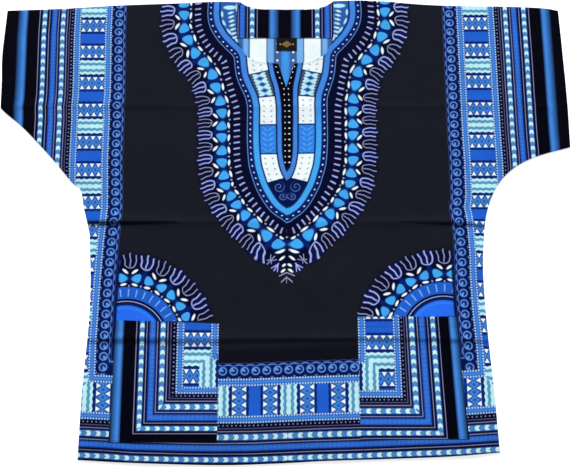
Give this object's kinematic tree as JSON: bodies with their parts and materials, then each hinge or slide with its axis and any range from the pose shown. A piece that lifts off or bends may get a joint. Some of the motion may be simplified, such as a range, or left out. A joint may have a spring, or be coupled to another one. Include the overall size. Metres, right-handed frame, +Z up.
{
  "type": "dashiki shirt",
  "caption": "Printed cotton dashiki shirt with short cut-on sleeves, slit neck and patch pockets, laid out flat with its front up.",
  "frame": {"origin": "centre of the bounding box, on the surface that the shirt lies on", "axes": "+X from cuff to cuff, to the right in a view from above with the hem nearest; +Y from the hem to the shoulders; +Z up, out of the shirt's front"},
  "size_m": [0.989, 0.811, 0.0056],
  "materials": {
    "ground_cotton": "printed plain-weave cotton, navy black ground, matt with a faint sheen",
    "printed_cotton": "printed plain-weave cotton, blue bands on navy black, matt with a faint sheen",
    "label_satin": "woven satin, black"
  },
  "bodies": {
    "root": {"back_panel": "ground_cotton", "front_panel": "ground_cotton", "neck_facing": "printed_cotton", "neck_label": "label_satin", "pocket_left": "printed_cotton", "pocket_right": "printed_cotton"}
  },
  "joints": []
}
